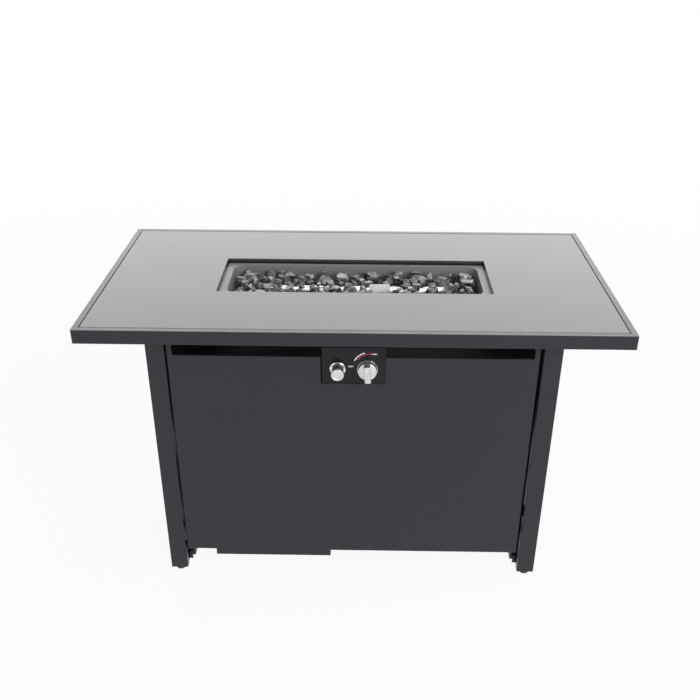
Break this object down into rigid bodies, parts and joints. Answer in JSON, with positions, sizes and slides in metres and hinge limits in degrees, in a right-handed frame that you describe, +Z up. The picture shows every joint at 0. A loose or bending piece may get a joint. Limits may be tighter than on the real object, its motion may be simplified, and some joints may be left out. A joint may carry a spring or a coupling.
{
  "type": "gas fire pit table",
  "caption": "Rectangular gas fire pit table: folded steel cabinet with a hinged access door, inlaid glass top, sunk burner in black stones, push-button igniter and gas knob.",
  "frame": {"origin": "on the floor under the middle of the table top", "axes": "+X to the right seen from the control side, along the table's length; +Y to the back; +Z up"},
  "size_m": [1.1, 0.57, 0.64],
  "materials": {
    "frame_paint": "fine satin powder coat, charcoal",
    "top_paint": "fine satin powder coat, charcoal",
    "pan_paint": "heat-proof matt paint, dark grey",
    "top_glass": "back-painted tempered glass, dark grey",
    "soft_pad": "matt",
    "stainless": "brushed",
    "zinc_steel": "zinc plated",
    "black_steel": "black oxide",
    "cast_alloy": "as cast",
    "brass_fitting": "turned",
    "ceramic": "glazed ceramic",
    "bright_chrome": "bright",
    "silver_knob": "silver satin",
    "black_plastic": "fine texture",
    "cell_jacket": "plain sleeve",
    "lava_glass": "broken, glossy"
  },
  "bodies": {
    "table": {"air_shutter": "zinc_steel", "burner_elbow": "cast_alloy", "burner_nut": "zinc_steel", "burner_pan": "pan_paint", "burner_saddles": "stainless", "burner_tube": "stainless", "control_box": "frame_paint", "control_bracket": "frame_paint", "control_screws": "black_steel", "cross_rail_front": "frame_paint", "cross_rail_rear": "frame_paint", "flare_nuts": "brass_fitting", "frame_bolts": "black_steel", "front_top_rail": "frame_paint", "gas_inlet": "brass_fitting", "gas_pipe": "cast_alloy", "glass_pads": "soft_pad", "glass_top": "top_glass", "igniter_barrel": "black_plastic", "igniter_battery": "cell_jacket", "igniter_bezel": "bright_chrome", "igniter_electrode": "ceramic", "igniter_nut": "black_plastic", "igniter_spring": "stainless", "knob_bezel": "bright_chrome", "lava_stones": "lava_glass", "leg_front_left": "frame_paint", "leg_front_right": "frame_paint", "leg_rear_left": "frame_paint", "leg_rear_right": "frame_paint", "lower_hinge_bracket": "frame_paint", "lower_hinge_pin": "zinc_steel", "magnet_catches": "black_plastic", "orifice_fitting": "brass_fitting", "panel_screws": "black_steel", "pilot_shield": "stainless", "rear_panel": "frame_paint", "side_panel_left": "frame_paint", "side_panel_right": "frame_paint", "side_rail_left": "frame_paint", "side_rail_right": "frame_paint", "tabletop": "top_paint", "tank_tray": "frame_paint", "thermocouple": "stainless", "upper_hinge_pin": "zinc_steel", "valve_body": "cast_alloy", "valve_bonnet": "cast_alloy", "valve_nut": "brass_fitting", "venturi": "cast_alloy"},
    "door": {"access_door": "frame_paint"},
    "valve_plug": {"valve_rotor": "brass_fitting", "valve_spring": "stainless"},
    "knob": {"valve_stem": "stainless", "control_knob": "silver_knob"},
    "button": {"igniter_button": "silver_knob"},
    "foot_front_left": {"foot_front_left": "black_plastic"},
    "foot_front_right": {"foot_front_right": "black_plastic"},
    "foot_rear_left": {"foot_rear_left": "black_plastic"},
    "foot_rear_right": {"foot_rear_right": "black_plastic"}
  },
  "joints": [
    {"name": "door_swing", "type": "hinge", "parent": "table", "child": "door", "pos_m": [-0.368, -0.2425, 0.338], "axis": [0, 0, -1], "range_deg": [0, 115]},
    {"name": "valve_turn", "type": "hinge", "parent": "table", "child": "valve_plug", "pos_m": [0.028, -0.228, 0.542], "axis": [0, -1, 0], "range_deg": [-90, 75]},
    {"name": "knob_push", "type": "slide", "parent": "valve_plug", "child": "knob", "axis": [0, 1, 0], "range_m": [0, 0.003], "stiffness_N_per_m": 1500, "springref_m": -0.002, "deforming": ["valve_spring"]},
    {"name": "igniter_press", "type": "slide", "parent": "table", "child": "button", "axis": [0, 1, 0], "range_m": [0, 0.004], "stiffness_N_per_m": 900, "springref_m": -0.002, "deforming": ["igniter_spring"]},
    {"name": "foot_front_left_turn", "type": "hinge", "parent": "table", "child": "foot_front_left", "pos_m": [-0.3995, -0.234, 0.005], "axis": [0, 0, 1], "continuous": true},
    {"name": "foot_front_right_turn", "type": "hinge", "parent": "table", "child": "foot_front_right", "pos_m": [0.3995, -0.234, 0.005], "axis": [0, 0, 1], "continuous": true},
    {"name": "foot_rear_left_turn", "type": "hinge", "parent": "table", "child": "foot_rear_left", "pos_m": [-0.3995, 0.234, 0.005], "axis": [0, 0, 1], "continuous": true},
    {"name": "foot_rear_right_turn", "type": "hinge", "parent": "table", "child": "foot_rear_right", "pos_m": [0.3995, 0.234, 0.005], "axis": [0, 0, 1], "continuous": true}
  ]
}
